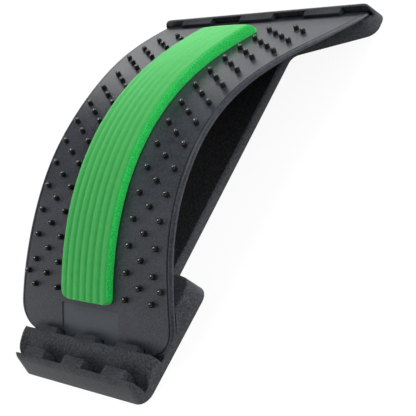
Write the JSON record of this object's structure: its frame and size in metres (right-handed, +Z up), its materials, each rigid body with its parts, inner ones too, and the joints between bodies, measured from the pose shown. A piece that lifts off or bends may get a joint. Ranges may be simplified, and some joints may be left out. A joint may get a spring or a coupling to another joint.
{
  "type": "back stretcher",
  "caption": "Arched lumbar back stretcher: a springy waisted plate with massage nubs and a ribbed green foam strip, seated in the toothed slots of a low black base.",
  "frame": {"origin": "on the floor, under the centre of the base's footprint", "axes": "+Z up; +Y from the narrow foot with its row of slots to the wide foot; +X across, completing a right-handed frame"},
  "size_m": [0.2464, 0.375, 0.0889],
  "materials": {
    "base_plastic": "satin moulded black plastic",
    "plate_plastic": "fine-grained charcoal plastic with glossy nubs",
    "green_foam": "ribbed closed-cell foam"
  },
  "bodies": {
    "base": {"base": "base_plastic"},
    "arch": {"arch_plate": "plate_plastic", "spine_pad": "green_foam"}
  },
  "joints": [
    {"name": "arch_lift_off", "type": "slide", "parent": "base", "child": "arch", "axis": [0, 0, 1], "range_m": [0, 0.15]}
  ]
}
